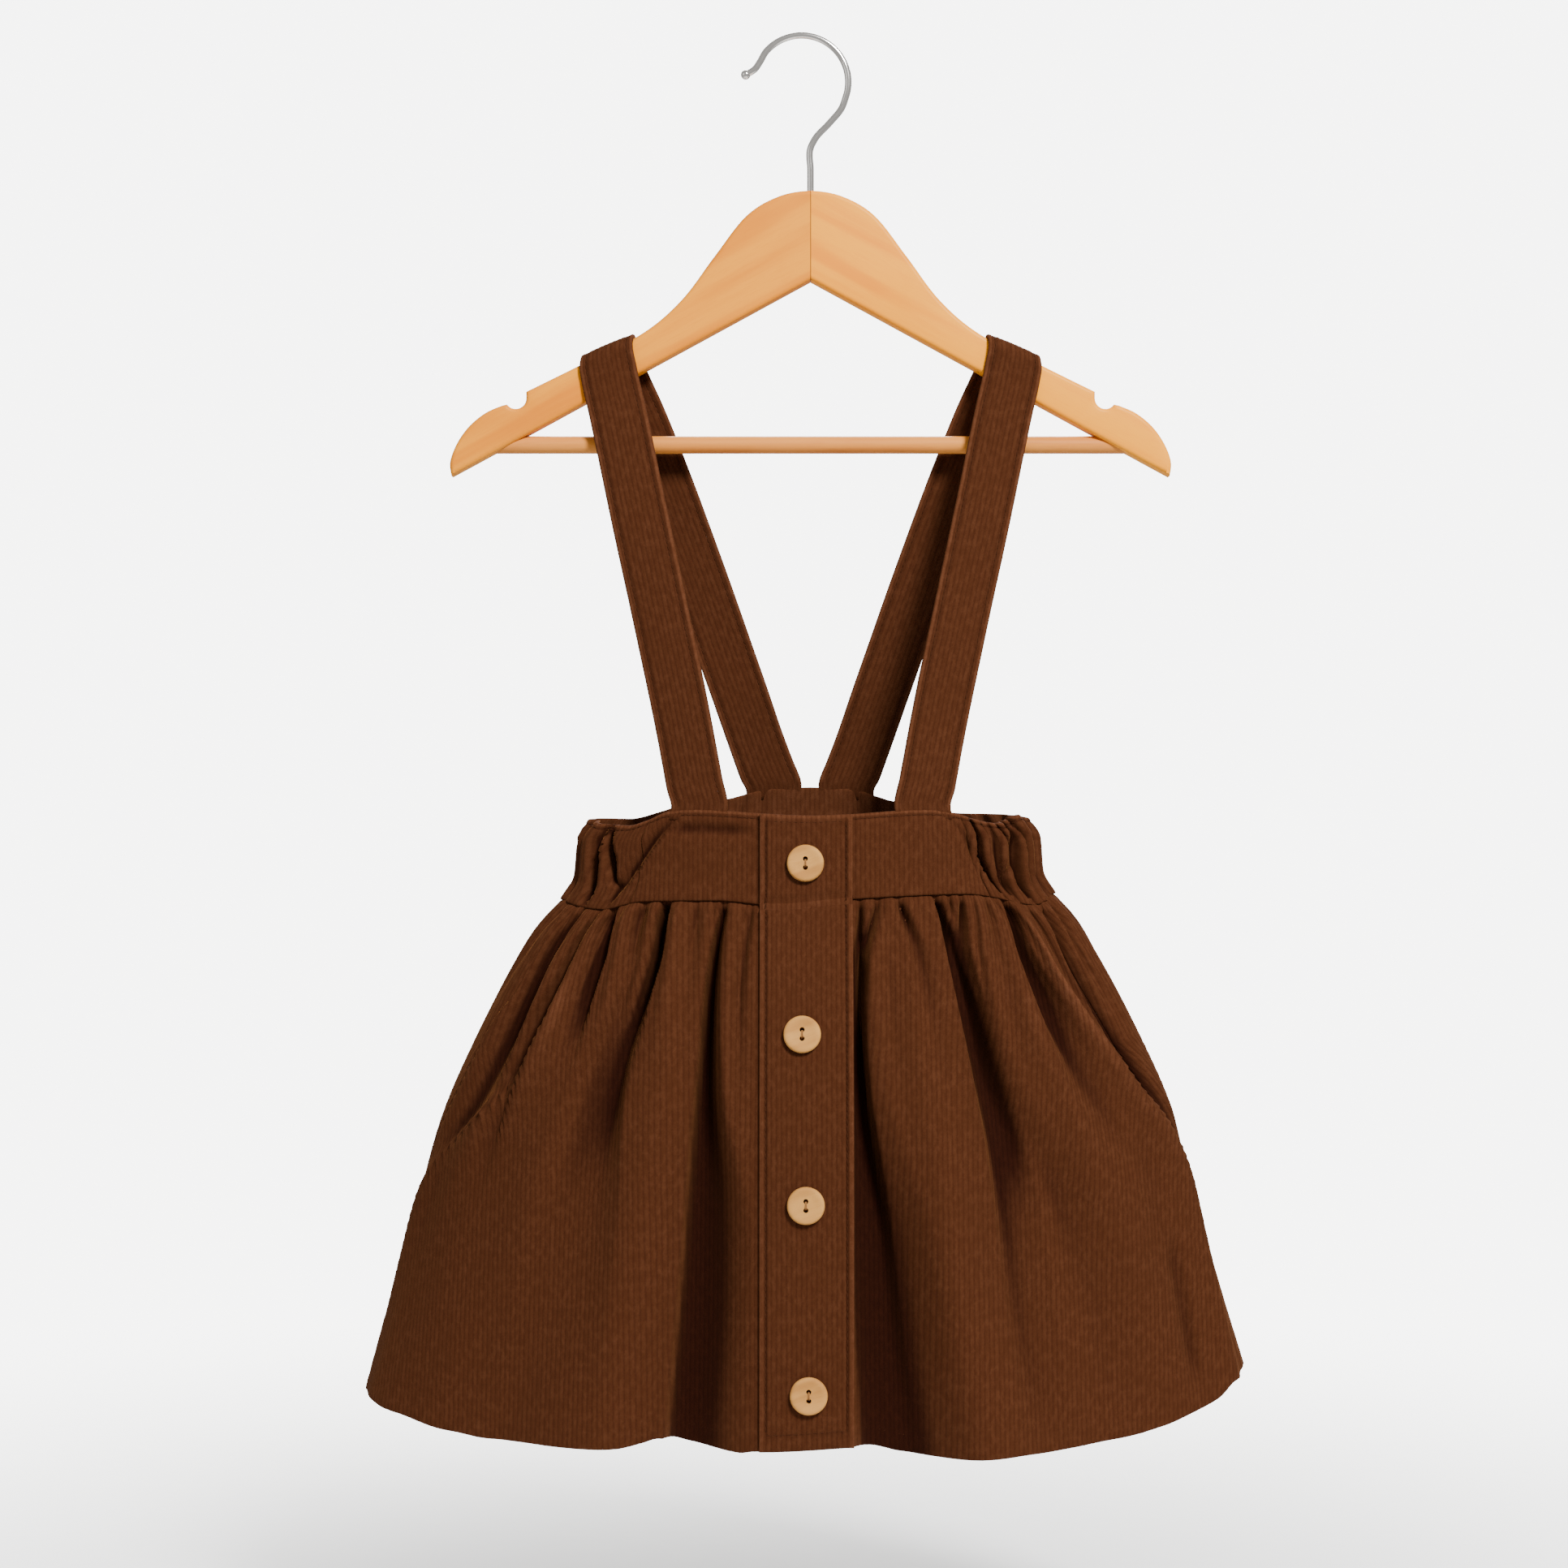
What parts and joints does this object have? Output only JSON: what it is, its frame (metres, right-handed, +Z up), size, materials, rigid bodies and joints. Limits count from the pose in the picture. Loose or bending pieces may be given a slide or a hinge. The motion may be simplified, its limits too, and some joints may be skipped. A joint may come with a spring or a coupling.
{
  "type": "suspender skirt on a clothes hanger",
  "caption": "Child's gathered corduroy skirt with a buttoned front, an elastic back waist and two shoulder straps, hanging on a wooden hanger.",
  "frame": {"origin": "underside of the top of the hanger's hook, where it hangs on a rail or a wall hook", "axes": "+X to the viewer's right, +Y away from the viewer towards the back of the garment, +Z up"},
  "size_m": [0.3993, 0.1273, 0.6394],
  "materials": {
    "corduroy": "fine-ribbed brown cotton corduroy with a soft nap",
    "button_wood": "turned pale wood, satin",
    "beech": "varnished pale beech, satin",
    "steel": "plated steel wire, polished"
  },
  "bodies": {
    "root": {"skirt_front_left": "corduroy", "skirt_front_right": "corduroy", "skirt_back": "corduroy", "waistband_front_left": "corduroy", "waistband_front_right": "corduroy", "waistband_back": "corduroy", "button_strip": "corduroy", "under_strip": "corduroy", "strap_left": "corduroy", "strap_right": "corduroy", "button_1": "button_wood", "button_2": "button_wood", "button_3": "button_wood", "button_4": "button_wood", "hanger_arm_right": "beech", "hanger_arm_left": "beech", "hanger_bar": "beech", "hanger_hook": "steel"}
  },
  "joints": []
}
